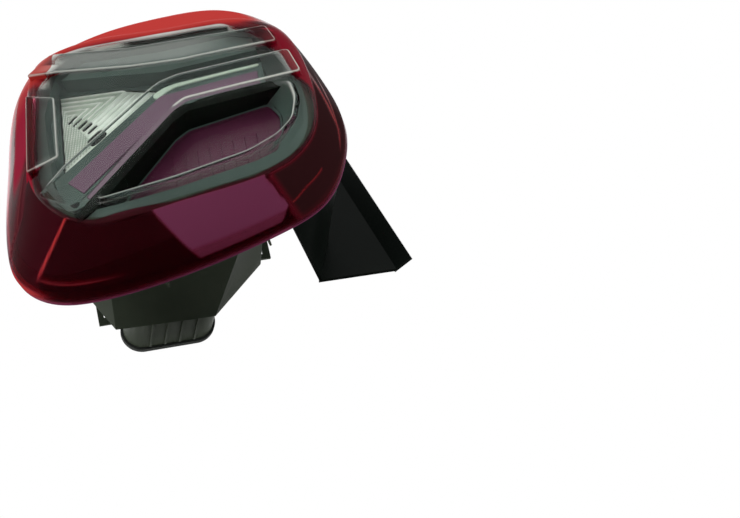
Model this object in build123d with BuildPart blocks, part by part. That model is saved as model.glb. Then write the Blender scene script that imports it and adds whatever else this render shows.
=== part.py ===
from build123d import *
import math
import os

os.makedirs("parts", exist_ok=True)

# Frame: origin midway between the two studs, in the plane of the foam faces.
# X points to the tailgate, Y forward along the studs, Z up.

# Lens plane: the rim lies in it, turned outboard and tipped up
lens_centre = (-2, -155, 1)
lens_yaw = 21
lens_pitch = 16

# Lens, in the lens plane (across, up) and above it
lens_wall = 3
lens_lip = 7
face_height = 46
crown_height = 55
crown_run = 10
bar_height = 59
bar_corner = 3
end_block_height = 58
pocket_floor = 30
pocket_corner = 4
rim_points = [
    (-147, -36), (-140, -66), (-117, -89), (-74, -99), (-12, -97), (59, -85), (93, -71), (112, -42),
    (119, -12), (112, 34), (64, 128), (37, 147), (-6, 157), (-84, 152), (-128, 120), (-144, 44),
]
face_points = [
    (-104, -30), (-95, -46), (-80, -62), (-58, -72), (-4, -74), (54, -73), (83, -66), (101, -48),
    (107, -22), (105, 18), (87, 65), (57, 83), (4, 93), (-62, 104), (-98, 93), (-107, 50),
]
upper_bar_points = [
    (-96, 74), (-77, 72), (3, 46), (53, 41), (90, 36), (84, 55), (53, 62), (3, 67), (-80, 88),
]
bent_bar_points = [
    (-70, -65), (10, -4), (19, 1), (103, -2), (97, 24), (23, 32), (3, 32), (-17, 21), (-96, -42),
]
end_block_points = [(-105, -18), (-81, -12), (-81, 46), (-103, 56)]
end_block_base = [(-117, -26), (-81, -18), (-81, 52), (-116, 62)]
end_block_foot = 30
pocket_mouth = [
    (-56, -57), (1, -57), (56, -53), (77, -46), (89, -36), (94, -18), (92, -2), (18, 4), (8, -1),
]
pocket_bed = [
    (-44, -50), (1, -51), (52, -47), (66, -41), (74, -29), (76, -12), (70, 1), (10, -1), (1, -6),
]
clear_points = [
    (-74, -68), (10, -72), (68, -70), (96, -55), (104, -32), (103, 0), (96, 28), (84, 58), (58, 84),
    (20, 102), (-40, 110), (-80, 100), (-80, 76), (-92, 66), (-98, 52), (-98, -24), (-92, -42),
]
clear_depth = 20

# Pieces behind the lens
bezel_inset = 6
bezel_top = 42
bezel_sheet = 2
recess_floor = 30
recess_points = [
    (-74, -54), (-58, -57), (0, -58), (58, -55), (82, -49), (95, -34), (98, -10), (96, 18), (79, 56),
    (50, 72), (2, 81), (-64, 90), (-85, 80), (-95, 44), (-91, -26), (-84, -40),
]
ridge_points = [(-80, -50), (-70, -48), (7, 12), (74, 14), (74, 31), (-4, 35), (-89, -24), (-87, -36)]
ridge_height = 14
slat_points = [(-80, 74), (0, 52), (72, 46), (70, 58), (54, 66), (0, 72), (-60, 84)]
slat_height = 14
fit_gap = 0.3
tub_gap = 0.8
tub_corner = 6
guide_points = [(-68, -42), (3, 13), (8, 18), (70, 17), (70, 24), (-4, 27), (-79, -29)]
guide_channel = 3
guide_proud = 1
accent_points = [(-4, 38), (6, 37), (70, 33), (70, 36), (5, 40), (-6, 42)]
accent_height = 10
blade_height = 16
window_points = [(-87, -16), (-8, 40), (-8, 48), (-38, 62), (-88, 72)]
tray_depth = 4
tray_floor = 2
tray_wall = 2
tray_rib = 1.2
tray_rib_height = 1.6
tray_rib_count = 8
tray_rib_pitch = 4
tray_rib_start = 5
tray_rib_end = -84
tray_rib_share = 0.55
filter_drop = 6
filter_wall = 2
filter_rib = 1
filter_rib_pitch = 9
filter_rib_count = 9
filter_rib_run = 26
filter_rib_centre = (30, -28)
ear_points = [(-100, -66), (-96, -73), (-88, -73), (-72, -60), (-86, -44)]
ear_corner = 3
ear_height = 8

# Housing
shell = 3
flange_top = -4
flange_sheet = 3
foot_points = [(-74, -68), (42, -54), (54, -32), (64, 44), (50, 92), (-62, 100), (-92, 78), (-88, -44)]
ledge_points = [(-72, -95), (5, -97), (49, -60), (62, 40), (50, 62), (-86, 62), (-102, 46), (-100, -44)]
ledge_depth = 76
well_points = [(-78, -54), (28, -54), (48, -22), (48, 54), (-92, 54), (-94, -32)]
well_corner = 12
well_depth = 30
divider_width = 1.6
divider_height = 6
divider_places = [((45, -72), (47, -88)), ((-32, -80), (-31, -99)), ((-86, 116), (-100, 132))]
guide_rib_places = [(-112, 92), (-118, 10)]
guide_rib = 1.8
guide_rib_pitch = 6
guide_rib_run = 20
guide_rib_height = 9
guide_rib_count = 3
peg_places = [-30, -48]
peg_radius = 2.4
peg_reach = 6
upper_tower_depth = 98

# Fixing: two towers with foam faces and studs
stud_spacing = 150
tower_length = 74
tower_end = 13
tower_height = 31
tower_wall = 3
tower_hollow = 22
gasket_thickness = 8
gasket_margin = 2
gasket_ring = 8
stud_radius = 3
stud_reach = 25
stud_flange_radius = 5.5
stud_flange = 2
stud_seat = 7
stud_grip = 14
stud_boss_radius = 7
tower_rib = 1.8
tower_rib_rise = 2
tower_rib_count = 4
tower_rib_pitch = 12
tower_rib_start = 5
thread_gap = 0.05
gasket_round = 2
stud_chamfer = 0.8

# Snap loops beside the well
loop_width = 19
loop_height = 21
loop_sheet = 3
loop_window = (10, 9)
loop_places = [(-71, -64, 0), (-74, 66, 0), (34, 66, 0), (57, -30, 90)]

# Bulb reflector in the well
reflector_sheet = 2.5
bowl_places = [(20, 24, 26, 12.5), (-54, -14, 30, 10)]
bowl_bulge = 0.55
plate_margin = 1.5
bowl_neck_depth = 52
collar_width = 6
collar_height = 3

# Gutter panel beside the lens
panel_sheet = 2.5
strip_corner = (72, -148, -107)
strip_lean = 28.6
strip_edge_bottom = 63
strip_edge_top = 36
strip_length = 316
strip_tip = (-8, 316)
wall_foot = [
    (66, -82), (86, -73), (102, -57), (111, -40), (114, -18), (110, 8), (103, 35), (90, 66), (74, 100),
    (56, 132), (36, 144),
]
wall_head = [
    (5, 0), (18, 33), (25, 55), (24, 82), (21, 110), (19, 135), (20, 165), (15, 200), (6, 232), (-3, 262),
    (-8, 294),
]
fold_width = 14
fold_turn = 38
tab_corner = 4
tab_points = [(54, -62), (74, -68), (109, -44), (109, -22), (62, -44)]
pin_places = [(42, 58), (28, 190)]
pin_radius = 5
pin_bore = 3
pin_height = 13

# Screws on the flange
screw_places = [(64, -55), (-94, -68)]
screw_radius = 2.2
screw_length = 11
washer_radius = 6
washer_sheet = 1.2
screw_head_radius = 4
screw_head = 2.6
screw_socket = 1.6
screw_boss_radius = 5

yaw = math.radians(lens_yaw)
pitch = math.radians(lens_pitch)
lens_plane = Plane(
    origin=lens_centre,
    x_dir=(math.cos(yaw), -math.sin(yaw), 0),
    z_dir=(-math.sin(yaw) * math.cos(pitch), -math.cos(yaw) * math.cos(pitch), math.sin(pitch)),
)
lean = math.radians(strip_lean)
strip_plane = Plane(
    origin=strip_corner,
    x_dir=(1, 0, 0),
    z_dir=(0, -math.cos(lean), math.sin(lean)),
)
flange_back = flange_top - flange_sheet
tower_offset = tower_end - tower_length / 2


def level(height):
    """Plane parallel to the rim, at a height above it."""
    return lens_plane.offset(height)


def behind(depth):
    """Plane square to the studs, at a depth behind the foam faces."""
    return Plane.XZ.offset(depth)


def inset(points, distance):
    """Points of a closed outline that turns left, moved inwards by a distance."""
    moved = []
    for before, here, after in zip(points[-1:] + points[:-1], points, points[1:] + points[:1]):
        along = (Vector(after) - Vector(before)).normalized()
        moved.append((here[0] - along.Y * distance, here[1] + along.X * distance))
    return moved


def smooth(plane, points):
    """Face inside a closed smooth curve through the points."""
    with BuildSketch(plane) as face:
        with BuildLine():
            Spline(*points, periodic=True)
        make_face()
    return face.sketch


def straight(plane, points, corner=0):
    """Face inside a closed outline of straight runs, with rounded corners if asked."""
    with BuildSketch(plane) as face:
        with BuildLine():
            Polyline(*points, close=True)
        make_face()
        if corner:
            fillet(face.vertices(), corner)
    return face.sketch


def beside(points, width):
    """Points of an open path, moved to the left of it by a width."""
    ends = points[:1] + points + points[-1:]
    moved = []
    for before, here, after in zip(ends[:-2], points, ends[2:]):
        along = (Vector(after) - Vector(before)).normalized()
        moved.append((here[0] - along.Y * width, here[1] + along.X * width))
    return moved


def band(plane, points, width):
    """Face of even width to the left of a smooth path through the points."""
    shifted = beside(points, width)
    with BuildSketch(plane) as face:
        with BuildLine():
            Spline(*points)
            Spline(*shifted)
            Line(points[0], shifted[0])
            Line(points[-1], shifted[-1])
        make_face()
    return face.sketch


def tower_plane(depth, tower_z):
    """Plane square to the studs, centred on a tower."""
    return Plane(origin=(tower_offset, -depth, tower_z), x_dir=(1, 0, 0), z_dir=(0, -1, 0))


def oval(plane, length, height):
    """Oval face of a tower, centred on the plane's origin."""
    with BuildSketch(plane) as face:
        SlotOverall(length, height)
    return face.sketch


def lens_hollow():
    """Sections of the space inside the lens, a wall's thickness under its outer skin."""
    return [
        smooth(level(0), inset(rim_points, lens_wall)),
        smooth(level(face_height - lens_wall), inset(face_points, lens_wall)),
        smooth(level(crown_height - lens_wall), inset(face_points, crown_run + lens_wall)),
    ]


def blade_outline(height):
    """Outline of the blade at a height: from the ridge's lower edge to the wall of the pocket."""
    share = (height - pocket_floor) / (crown_height - pocket_floor)
    wall = []
    for bed, mouth in zip(pocket_bed, pocket_mouth):
        wall.append(tuple(Vector(bed) + (Vector(mouth) - Vector(bed)) * share)[:2])
    left_end, *rest = inset(wall, -lens_wall - tub_gap)
    upper_side = rest[-3:]
    ridge_edge = beside(ridge_points[1:4], -fit_gap)
    return [left_end, *reversed(upper_side), *reversed(ridge_edge)]


# Steps of the lens face: two bars and the block at the left end, open where the pocket is
with BuildPart() as steps:
    extrude(straight(level(face_height), upper_bar_points, bar_corner), bar_height - face_height)
    extrude(straight(level(face_height), bent_bar_points, bar_corner), bar_height - face_height)
    loft(
        [
            straight(level(end_block_foot), end_block_base, bar_corner),
            straight(level(end_block_height), end_block_points, bar_corner),
        ],
        ruled=True,
    )
    extrude(straight(level(face_height), pocket_mouth, pocket_corner), bar_height, mode=Mode.SUBTRACT)
    loft(lens_hollow(), ruled=True, mode=Mode.SUBTRACT)

# Lens: one two-shot moulding, made whole here and parted by colour below
with BuildPart() as lens:
    extrude(smooth(level(-lens_lip), rim_points), lens_lip)
    loft(
        [
            smooth(level(0), rim_points),
            smooth(level(face_height), face_points),
            smooth(level(crown_height), inset(face_points, crown_run)),
        ],
        ruled=True,
    )
    extrude(smooth(level(-lens_lip), inset(rim_points, lens_wall)), lens_lip, mode=Mode.SUBTRACT)
    loft(lens_hollow(), ruled=True, mode=Mode.SUBTRACT)
    extrude(straight(level(pocket_floor - lens_wall), inset(pocket_bed, -lens_wall), tub_corner), lens_wall)
    loft(
        [
            straight(level(pocket_floor), inset(pocket_bed, -lens_wall), tub_corner),
            straight(level(crown_height - lens_wall / 2), inset(pocket_mouth, -lens_wall), tub_corner),
        ],
        ruled=True,
    )
    loft(
        [
            straight(level(pocket_floor), pocket_bed, pocket_corner),
            straight(level(crown_height), pocket_mouth, pocket_corner),
        ],
        ruled=True,
        mode=Mode.SUBTRACT,
    )
    add(steps.part)

with BuildPart() as lens_clear:
    add(lens.part)
    extrude(straight(level(clear_depth), clear_points), bar_height, mode=Mode.INTERSECT)
lens_clear.part.label = "lens_clear"
export_step(lens_clear.part, "parts/lens_clear.step")

with BuildPart() as lens_red:
    add(lens.part)
    extrude(straight(level(clear_depth), clear_points), bar_height, mode=Mode.SUBTRACT)
lens_red.part.label = "lens_red"
export_step(lens_red.part, "parts/lens_red.step")

# Bezel: hollow frame on the flange, with a recess that holds the ridge and the slat
recess_back = recess_floor - bezel_sheet
ridge_top = recess_floor + ridge_height
with BuildPart() as bezel:
    extrude(smooth(level(flange_top), inset(face_points, bezel_inset)), bezel_top - flange_top)
    extrude(
        smooth(level(flange_top), inset(face_points, bezel_inset + bezel_sheet)),
        bezel_top - bezel_sheet - flange_top,
        mode=Mode.SUBTRACT,
    )
    extrude(straight(level(recess_back), inset(recess_points, -bezel_sheet)), bezel_top - recess_back)
    extrude(straight(level(recess_floor), recess_points), bezel_top, mode=Mode.SUBTRACT)
    extrude(straight(level(recess_floor), ridge_points), ridge_height)
    extrude(straight(level(recess_floor), slat_points), slat_height)
    extrude(
        straight(level(ridge_top - guide_channel), inset(guide_points, -fit_gap)),
        guide_channel,
        mode=Mode.SUBTRACT,
    )
    extrude(straight(level(recess_back), window_points), bezel_sheet, mode=Mode.SUBTRACT)
    extrude(
        straight(level(recess_back), inset(pocket_bed, -lens_wall - tub_gap), tub_corner),
        bezel_sheet,
        mode=Mode.SUBTRACT,
    )
    extrude(straight(level(flange_top), ear_points, ear_corner), ear_height)
    with BuildSketch(level(flange_top)):
        with Locations(screw_places[1]):
            Circle(screw_radius + thread_gap)
    extrude(amount=screw_length, mode=Mode.SUBTRACT)
bezel.part.label = "bezel"
export_step(bezel.part, "parts/bezel.step")

# Bent light guide in the ridge's channel
with BuildPart() as light_guide:
    extrude(straight(level(ridge_top - guide_channel), guide_points), guide_channel + guide_proud)
light_guide.part.label = "light_guide"
export_step(light_guide.part, "parts/light_guide.step")

# Pale strip beside the ridge
with BuildPart() as accent_strip:
    extrude(straight(level(recess_floor), accent_points), accent_height)
accent_strip.part.label = "accent_strip"
export_step(accent_strip.part, "parts/accent_strip.step")

# Black blade between the ridge and the pocket
with BuildPart() as blade_trim:
    loft(
        [
            straight(level(recess_floor), blade_outline(recess_floor)),
            straight(level(recess_floor + blade_height), blade_outline(recess_floor + blade_height)),
        ],
        ruled=True,
    )
blade_trim.part.label = "blade_trim"
export_step(blade_trim.part, "parts/blade_trim.step")

# Silver tray under the left window, with nested ribs on its floor
tray_base = recess_back - tray_depth
window_corner = Vector(window_points[3])
upper_along = (Vector(window_points[4]) - window_corner).normalized()
lower_along = (Vector(window_points[0]) - Vector(window_points[1])).normalized()
into_window = (upper_along + lower_along).normalized()
with BuildPart() as turn_reflector:
    extrude(straight(level(tray_base), inset(window_points, -tray_wall)), tray_depth)
    extrude(straight(level(tray_base + tray_floor), window_points), tray_depth, mode=Mode.SUBTRACT)
    with BuildSketch(level(tray_base + tray_floor)):
        for turn in range(tray_rib_count):
            apex = window_corner + into_window * (tray_rib_start + turn * tray_rib_pitch)
            upper_run = (apex.X - tray_rib_end) / -upper_along.X
            lower_run = tray_rib_share * (apex.X - tray_rib_end) / -lower_along.X
            with BuildLine():
                Polyline(apex + upper_along * upper_run, apex, apex + lower_along * lower_run)
            trace(line_width=tray_rib)
    extrude(amount=tray_rib_height)
turn_reflector.part.label = "turn_reflector"
export_step(turn_reflector.part, "parts/turn_reflector.step")

# Red inner lens under the pocket, a shallow tub with ribs on its floor
filter_base = recess_back - filter_drop
filter_inner = inset(pocket_bed, -lens_wall - tub_gap - fit_gap)
filter_outer = inset(pocket_bed, -lens_wall - tub_gap - fit_gap - filter_wall)
with BuildPart() as pocket_filter:
    extrude(straight(level(filter_base), filter_outer, tub_corner), filter_drop)
    extrude(
        straight(level(filter_base + filter_wall), filter_inner, tub_corner),
        filter_drop,
        mode=Mode.SUBTRACT,
    )
    with BuildSketch(level(filter_base + filter_wall)):
        with Locations(filter_rib_centre):
            with GridLocations(filter_rib_pitch, 0, filter_rib_count, 1):
                Rectangle(filter_rib, filter_rib_run)
    extrude(amount=filter_rib)
pocket_filter.part.label = "pocket_filter"
export_step(pocket_filter.part, "parts/pocket_filter.step")

# Housing: flange, hollow body, well, towers and snap loops in one moulding
low_z = -stud_spacing / 2
high_z = stud_spacing / 2
tower_base = {low_z: ledge_depth + shell, high_z: upper_tower_depth}
with BuildPart() as housing:
    extrude(smooth(level(flange_back), inset(rim_points, lens_wall + fit_gap)), flange_sheet)
    loft([straight(level(flange_back), foot_points), straight(behind(ledge_depth), ledge_points)])
    for tower_z in (low_z, high_z):
        centre = tower_plane(gasket_thickness, tower_z)
        extrude(oval(centre, tower_length, tower_height), tower_base[tower_z] - gasket_thickness)
        rib_run = tower_base[tower_z] - gasket_thickness - tower_rib_start
        with BuildSketch(centre.offset(tower_rib_start)):
            with GridLocations(tower_rib_pitch, 0, tower_rib_count, 1):
                Rectangle(tower_rib, tower_height + 2 * tower_rib_rise)
        extrude(amount=rib_run)
    loft(
        [
            straight(level(flange_back), inset(foot_points, shell)),
            straight(behind(ledge_depth + shell), inset(ledge_points, shell)),
        ],
        mode=Mode.SUBTRACT,
    )
    extrude(straight(level(flange_back), inset(foot_points, shell)), flange_sheet, mode=Mode.SUBTRACT)
    extrude(straight(behind(well_depth), inset(well_points, -shell), well_corner), ledge_depth - well_depth)
    for loop_x, loop_z, turn in loop_places:
        with BuildSketch(behind(well_depth)):
            with Locations(Location((loop_x, loop_z, 0), (0, 0, turn))):
                Rectangle(loop_width, loop_height)
                Rectangle(*loop_window, mode=Mode.SUBTRACT)
        extrude(amount=loop_sheet)
    extrude(
        straight(behind(well_depth), well_points, well_corner),
        ledge_depth + shell - well_depth,
        mode=Mode.SUBTRACT,
    )
    for tower_z in (low_z, high_z):
        centre = tower_plane(gasket_thickness, tower_z)
        hollow = oval(centre, tower_length - 2 * tower_wall, tower_height - 2 * tower_wall)
        extrude(hollow, tower_hollow, mode=Mode.SUBTRACT)
        under = centre.offset(tower_hollow + tower_wall)
        below = oval(under, tower_length - 2 * tower_wall, tower_height - 2 * tower_wall)
        under_depth = tower_base[tower_z] - gasket_thickness - tower_hollow - tower_wall
        extrude(below, under_depth, mode=Mode.SUBTRACT)
        with BuildSketch(behind(stud_seat)):
            with Locations((0, tower_z)):
                Circle(stud_boss_radius)
        extrude(amount=tower_hollow + gasket_thickness - stud_seat)
        with BuildSketch(behind(stud_seat)):
            with Locations((0, tower_z)):
                Circle(stud_radius + thread_gap)
        extrude(amount=stud_grip, mode=Mode.SUBTRACT)
    for peg_x in peg_places:
        with BuildSketch(behind(-peg_reach)):
            with Locations((peg_x, high_z)):
                Circle(peg_radius)
        extrude(amount=peg_reach + gasket_thickness + tower_hollow)
    for start, end in divider_places:
        with BuildSketch(level(flange_back)):
            with BuildLine():
                Line(start, end)
            trace(line_width=divider_width)
        extrude(amount=-divider_height)
    for guide_h, guide_v in guide_rib_places:
        with BuildSketch(level(flange_back)):
            with Locations((guide_h, guide_v)):
                with GridLocations(0, guide_rib_pitch, 1, guide_rib_count):
                    Rectangle(guide_rib_run, guide_rib)
        extrude(amount=-guide_rib_height)
    with Locations(level(flange_top)):
        with Locations(screw_places[0]):
            Cylinder(screw_boss_radius, screw_length, align=(Align.CENTER, Align.CENTER, Align.MIN))
    for place in screw_places:
        with BuildSketch(level(flange_back)):
            with Locations(place):
                Circle(screw_radius + thread_gap)
        extrude(amount=screw_length + flange_sheet, mode=Mode.SUBTRACT)
housing.part.label = "housing"
export_step(housing.part, "parts/housing.step")

# Bulb reflector: plate against the back wall, with two necked bowls that rise into the well
plate_back = ledge_depth + shell
with BuildPart() as bulb_reflector:
    extrude(straight(behind(plate_back), inset(well_points, -plate_margin), well_corner), reflector_sheet)
    for bowl_x, bowl_z, mouth, hole in bowl_places:
        axis_plane = Plane(origin=(bowl_x, 0, bowl_z), x_dir=(1, 0, 0), z_dir=(0, 0, 1))
        with BuildSketch(behind(plate_back)):
            with Locations((bowl_x, bowl_z)):
                Circle(mouth - reflector_sheet)
        extrude(amount=reflector_sheet, mode=Mode.SUBTRACT)
        neck = hole + collar_width
        with BuildSketch(axis_plane):
            with BuildLine():
                outer = ThreePointArc(
                    (mouth, -plate_back),
                    (neck + bowl_bulge * (mouth - neck), -(bowl_neck_depth + plate_back) / 2),
                    (neck, -bowl_neck_depth),
                )
                Polyline(
                    outer @ 1,
                    (neck, -bowl_neck_depth + collar_height),
                    (hole, -bowl_neck_depth + collar_height),
                    (hole, -bowl_neck_depth - reflector_sheet),
                    (neck, -bowl_neck_depth - reflector_sheet),
                )
                ThreePointArc(
                    (neck, -bowl_neck_depth - reflector_sheet),
                    (
                        neck + bowl_bulge * (mouth - neck) - reflector_sheet,
                        -(bowl_neck_depth + plate_back) / 2 - reflector_sheet,
                    ),
                    (mouth - reflector_sheet, -plate_back - reflector_sheet),
                )
                Polyline(
                    (mouth - reflector_sheet, -plate_back - reflector_sheet),
                    (mouth, -plate_back - reflector_sheet),
                    outer @ 0,
                )
            make_face()
        revolve(axis=Axis((bowl_x, 0, bowl_z), (0, 1, 0)))
bulb_reflector.part.label = "bulb_reflector"
export_step(bulb_reflector.part, "parts/bulb_reflector.step")

# Foam ovals and studs, one of each on either tower
for name, tower_z in (("lower", low_z), ("upper", high_z)):
    centre = tower_plane(0, tower_z)
    with BuildPart() as gasket:
        with BuildSketch(centre):
            SlotOverall(tower_length + 2 * gasket_margin, tower_height + 2 * gasket_margin)
            SlotOverall(
                tower_length + 2 * gasket_margin - 2 * gasket_ring,
                tower_height + 2 * gasket_margin - 2 * gasket_ring,
                mode=Mode.SUBTRACT,
            )
        extrude(amount=gasket_thickness)
        fillet(gasket.edges().group_by(Axis.Y)[-1], gasket_round)
    gasket.part.label = f"gasket_{name}"
    export_step(gasket.part, f"parts/gasket_{name}.step")

    with BuildPart() as stud:
        with BuildSketch(behind(-stud_reach)):
            with Locations((0, tower_z)):
                Circle(stud_radius)
        extrude(amount=stud_reach + stud_seat + stud_grip - thread_gap)
        chamfer(stud.edges().group_by(Axis.Y)[-1], stud_chamfer)
        with BuildSketch(behind(stud_seat - stud_flange)):
            with Locations((0, tower_z)):
                Circle(stud_flange_radius)
        extrude(amount=stud_flange)
    stud.part.label = f"stud_{name}"
    export_step(stud.part, f"parts/stud_{name}.step")

# Gutter panel: leaning strip with a folded edge, a wall down to the flange, a tab and two pins
strip_outline = [(strip_edge_bottom, 0), (strip_edge_top, strip_length), strip_tip]
strip_outline += reversed(beside(wall_head, panel_sheet))
edge_start = strip_plane.from_local_coords(Vector(strip_edge_bottom, 0, 0))
edge_end = strip_plane.from_local_coords(Vector(strip_edge_top, strip_length, 0))
edge_along = (edge_end - edge_start).normalized()
fold_out = Vector(math.cos(math.radians(fold_turn)), -math.sin(math.radians(fold_turn)), 0)
fold_plane = Plane(origin=edge_start, x_dir=edge_along, z_dir=edge_along.cross(fold_out))
edge_length = (edge_end - edge_start).length
fold_points = [
    (0, -panel_sheet),
    (edge_length, -panel_sheet),
    (edge_length - fold_width, fold_width),
    (0, fold_width),
]
with BuildPart() as gutter_panel:
    loft(
        [band(level(flange_back), wall_foot, panel_sheet), band(strip_plane, wall_head, panel_sheet)],
        ruled=True,
    )
    extrude(straight(strip_plane, strip_outline), -panel_sheet)
    extrude(straight(fold_plane, fold_points), panel_sheet)
    extrude(straight(level(flange_back), tab_points, tab_corner), -panel_sheet)
    with BuildSketch(strip_plane.offset(-panel_sheet)):
        with Locations(*pin_places):
            Circle(pin_radius)
            Circle(pin_bore, mode=Mode.SUBTRACT)
    extrude(amount=-pin_height)
    with BuildSketch(level(flange_back)):
        with Locations(screw_places[0]):
            Circle(screw_radius + thread_gap)
    extrude(amount=-panel_sheet, mode=Mode.SUBTRACT)
gutter_panel.part.label = "gutter_panel"
export_step(gutter_panel.part, "parts/gutter_panel.step")

# Washer-head screws: one clamps the panel's tab, one holds the bezel's ear
screw_seats = [flange_back - panel_sheet, flange_back]
with BuildPart() as flange_screws:
    for place, seat in zip(screw_places, screw_seats):
        for radius, start, length in (
            (screw_radius, seat, screw_length),
            (washer_radius, seat, -washer_sheet),
            (screw_head_radius, seat - washer_sheet, -screw_head),
        ):
            with BuildSketch(level(start)):
                with Locations(place):
                    Circle(radius)
            extrude(amount=length)
        with BuildSketch(level(seat - washer_sheet - screw_head)):
            with Locations(place):
                RegularPolygon(screw_socket, 6)
        extrude(amount=screw_socket, mode=Mode.SUBTRACT)
flange_screws.part.label = "flange_screws"
export_step(flange_screws.part, "parts/flange_screws.step")
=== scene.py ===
import logging
import math
from dataclasses import dataclass
from enum import Enum

import bmesh
import bpy
import numpy as np
from mathutils import Matrix, Vector


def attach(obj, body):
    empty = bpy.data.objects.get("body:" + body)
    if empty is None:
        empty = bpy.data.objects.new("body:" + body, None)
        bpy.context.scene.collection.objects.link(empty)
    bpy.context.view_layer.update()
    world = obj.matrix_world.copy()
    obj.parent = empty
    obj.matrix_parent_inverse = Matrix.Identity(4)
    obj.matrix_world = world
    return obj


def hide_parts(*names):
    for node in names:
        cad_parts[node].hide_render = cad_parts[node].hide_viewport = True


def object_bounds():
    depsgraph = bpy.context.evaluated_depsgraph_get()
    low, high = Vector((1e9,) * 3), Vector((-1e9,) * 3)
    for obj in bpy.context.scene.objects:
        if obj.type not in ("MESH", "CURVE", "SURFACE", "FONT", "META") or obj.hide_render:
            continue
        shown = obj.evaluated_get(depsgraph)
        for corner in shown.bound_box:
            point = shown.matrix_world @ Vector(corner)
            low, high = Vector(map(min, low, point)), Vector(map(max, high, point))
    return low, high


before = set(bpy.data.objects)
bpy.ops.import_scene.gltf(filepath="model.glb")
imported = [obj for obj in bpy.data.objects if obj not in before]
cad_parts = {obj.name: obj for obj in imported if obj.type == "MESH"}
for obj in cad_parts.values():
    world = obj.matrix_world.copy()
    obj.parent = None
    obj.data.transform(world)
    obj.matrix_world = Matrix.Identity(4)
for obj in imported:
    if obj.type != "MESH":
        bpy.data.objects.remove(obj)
CAD_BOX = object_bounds()

LOG = logging.getLogger("tail_lamp")
MM = 0.001
QUARTER = math.pi / 2
SHARP_TURN = 40.0
BODY = "root"

Array = np.ndarray
Piece = bpy.types.Object
Material = bpy.types.Material
Tree = bpy.types.NodeTree
Socket = bpy.types.NodeSocket
Place = tuple[float, float]
Points = list[Place]
Triple = tuple[float, float, float]
Span = tuple[float, float, float, float]


# Plain helpers: colour, nodes and meshes


def linear(hex_colour: str) -> Span:
    """Turn an sRGB hex colour into linear light.

    Args:
        hex_colour: Colour such as "#2A302A".

    Returns:
        Linear red, green, blue and an alpha of one.
    """
    srgb = np.array([int(hex_colour[at:at + 2], 16) for at in (1, 3, 5)]) / 255
    rgb = np.where(srgb <= 0.04045, srgb / 12.92, ((srgb + 0.055) / 1.055) ** 2.4)
    return (*rgb.tolist(), 1.0)


def feed(tree: Tree, node: bpy.types.Node, inputs: dict) -> None:
    """Set or link the sockets of a node.

    Args:
        tree: Node tree of the node.
        node: The node.
        inputs: Socket name or number, with a value or the output socket that feeds it.
    """
    for name, source in inputs.items():
        if isinstance(source, Socket):
            tree.links.new(source, node.inputs[name])
        else:
            node.inputs[name].default_value = source


def add_node(tree: Tree, kind: str, output: str, inputs: dict | None = None, **settings) -> Socket:
    """Add one shader node, with its settings, and feed its sockets.

    Args:
        tree: Node tree that takes the node.
        kind: Blender's type name of the node, after "ShaderNode".
        output: Name of the output that is wanted.
        inputs: Socket name or number, with a value or the output socket that feeds it.
        settings: Properties of the node.

    Returns:
        The output socket.
    """
    node = tree.nodes.new("ShaderNode" + kind)
    for name, value in settings.items():
        setattr(node, name, value)
    feed(tree, node, inputs or {})
    return node.outputs[output]


def linked(name: str, data: bpy.types.ID) -> Piece:
    """Make an object of a mesh, a light or a camera and link it to the scene."""
    item = bpy.data.objects.new(name, data)
    bpy.context.scene.collection.objects.link(item)
    return item


def smooth(mesh: bpy.types.Mesh, angle: float = SHARP_TURN) -> None:
    """Shade a mesh smooth, except at edges that turn by more than an angle in degrees."""
    mesh.shade_smooth()
    mesh.set_sharp_from_angle(angle=math.radians(angle))


def new_object(name: str, points: Array, faces: Array) -> Piece:
    """Make a mesh object from whole arrays, shaded smooth between its sharp edges.

    Args:
        name: Name of the piece.
        points: Vertices in millimetres, with their three coordinates last.
        faces: Vertex numbers, four to a row, where a triangle repeats its last number.

    Returns:
        The linked object.
    """
    sides = np.where(faces[:, 2] == faces[:, 3], 3, 4)
    loops = faces[np.arange(4) < sides[:, None]]
    mesh = bpy.data.meshes.new(name)
    mesh.vertices.add(points.size // 3)
    mesh.vertices.foreach_set("co", (points * MM).astype(np.float32).ravel())
    mesh.loops.add(len(loops))
    mesh.loops.foreach_set("vertex_index", loops.astype(np.int32))
    mesh.polygons.add(len(faces))
    mesh.polygons.foreach_set("loop_start", (np.cumsum(sides) - sides).astype(np.int32))
    mesh.update(calc_edges=True)
    mesh.validate()
    smooth(mesh)
    return linked(name, mesh)


def grid_faces(rows: int, columns: int, wrap_rows: bool = False, wrap_columns: bool = False) -> Array:
    """Number the four corners of each cell of a grid of vertices.

    Args:
        rows: Rows of vertices.
        columns: Vertices in a row.
        wrap_rows: Join the last row to the first.
        wrap_columns: Join the last column to the first.

    Returns:
        One row of four vertex numbers for each cell.
    """
    counts = np.arange(rows - (not wrap_rows)), np.arange(columns - (not wrap_columns))
    row, column = (axis.ravel() for axis in np.meshgrid(*counts, indexing="ij"))
    here, below, beside = row * columns, (row + 1) % rows * columns, (column + 1) % columns
    return np.stack([here + column, here + beside, below + beside, below + column], axis=1)


def closed_object(name: str, rings: Array, first: Array, last: Array) -> Piece:
    """Make a closed piece: rings joined as a grid, and a fan of triangles to one point at each end.

    Args:
        name: Name of the piece.
        rings: Points in rings, in millimetres.
        first: Point that closes the first ring.
        last: Point that closes the last ring.

    Returns:
        The piece.
    """
    rows, columns = rings.shape[:2]
    step = np.arange(columns)
    after = (step + 1) % columns
    top = 1 + (rows - 1) * columns
    start = np.stack([0 * step, 1 + after, 1 + step, 1 + step], axis=1)
    end = np.stack([0 * step + rows * columns + 1, top + step, top + after, top + after], axis=1)
    faces = np.concatenate([grid_faces(rows, columns, wrap_columns=True) + 1, start, end])
    return new_object(name, np.concatenate([[first], rings.reshape(-1, 3), [last]]), faces)


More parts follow.
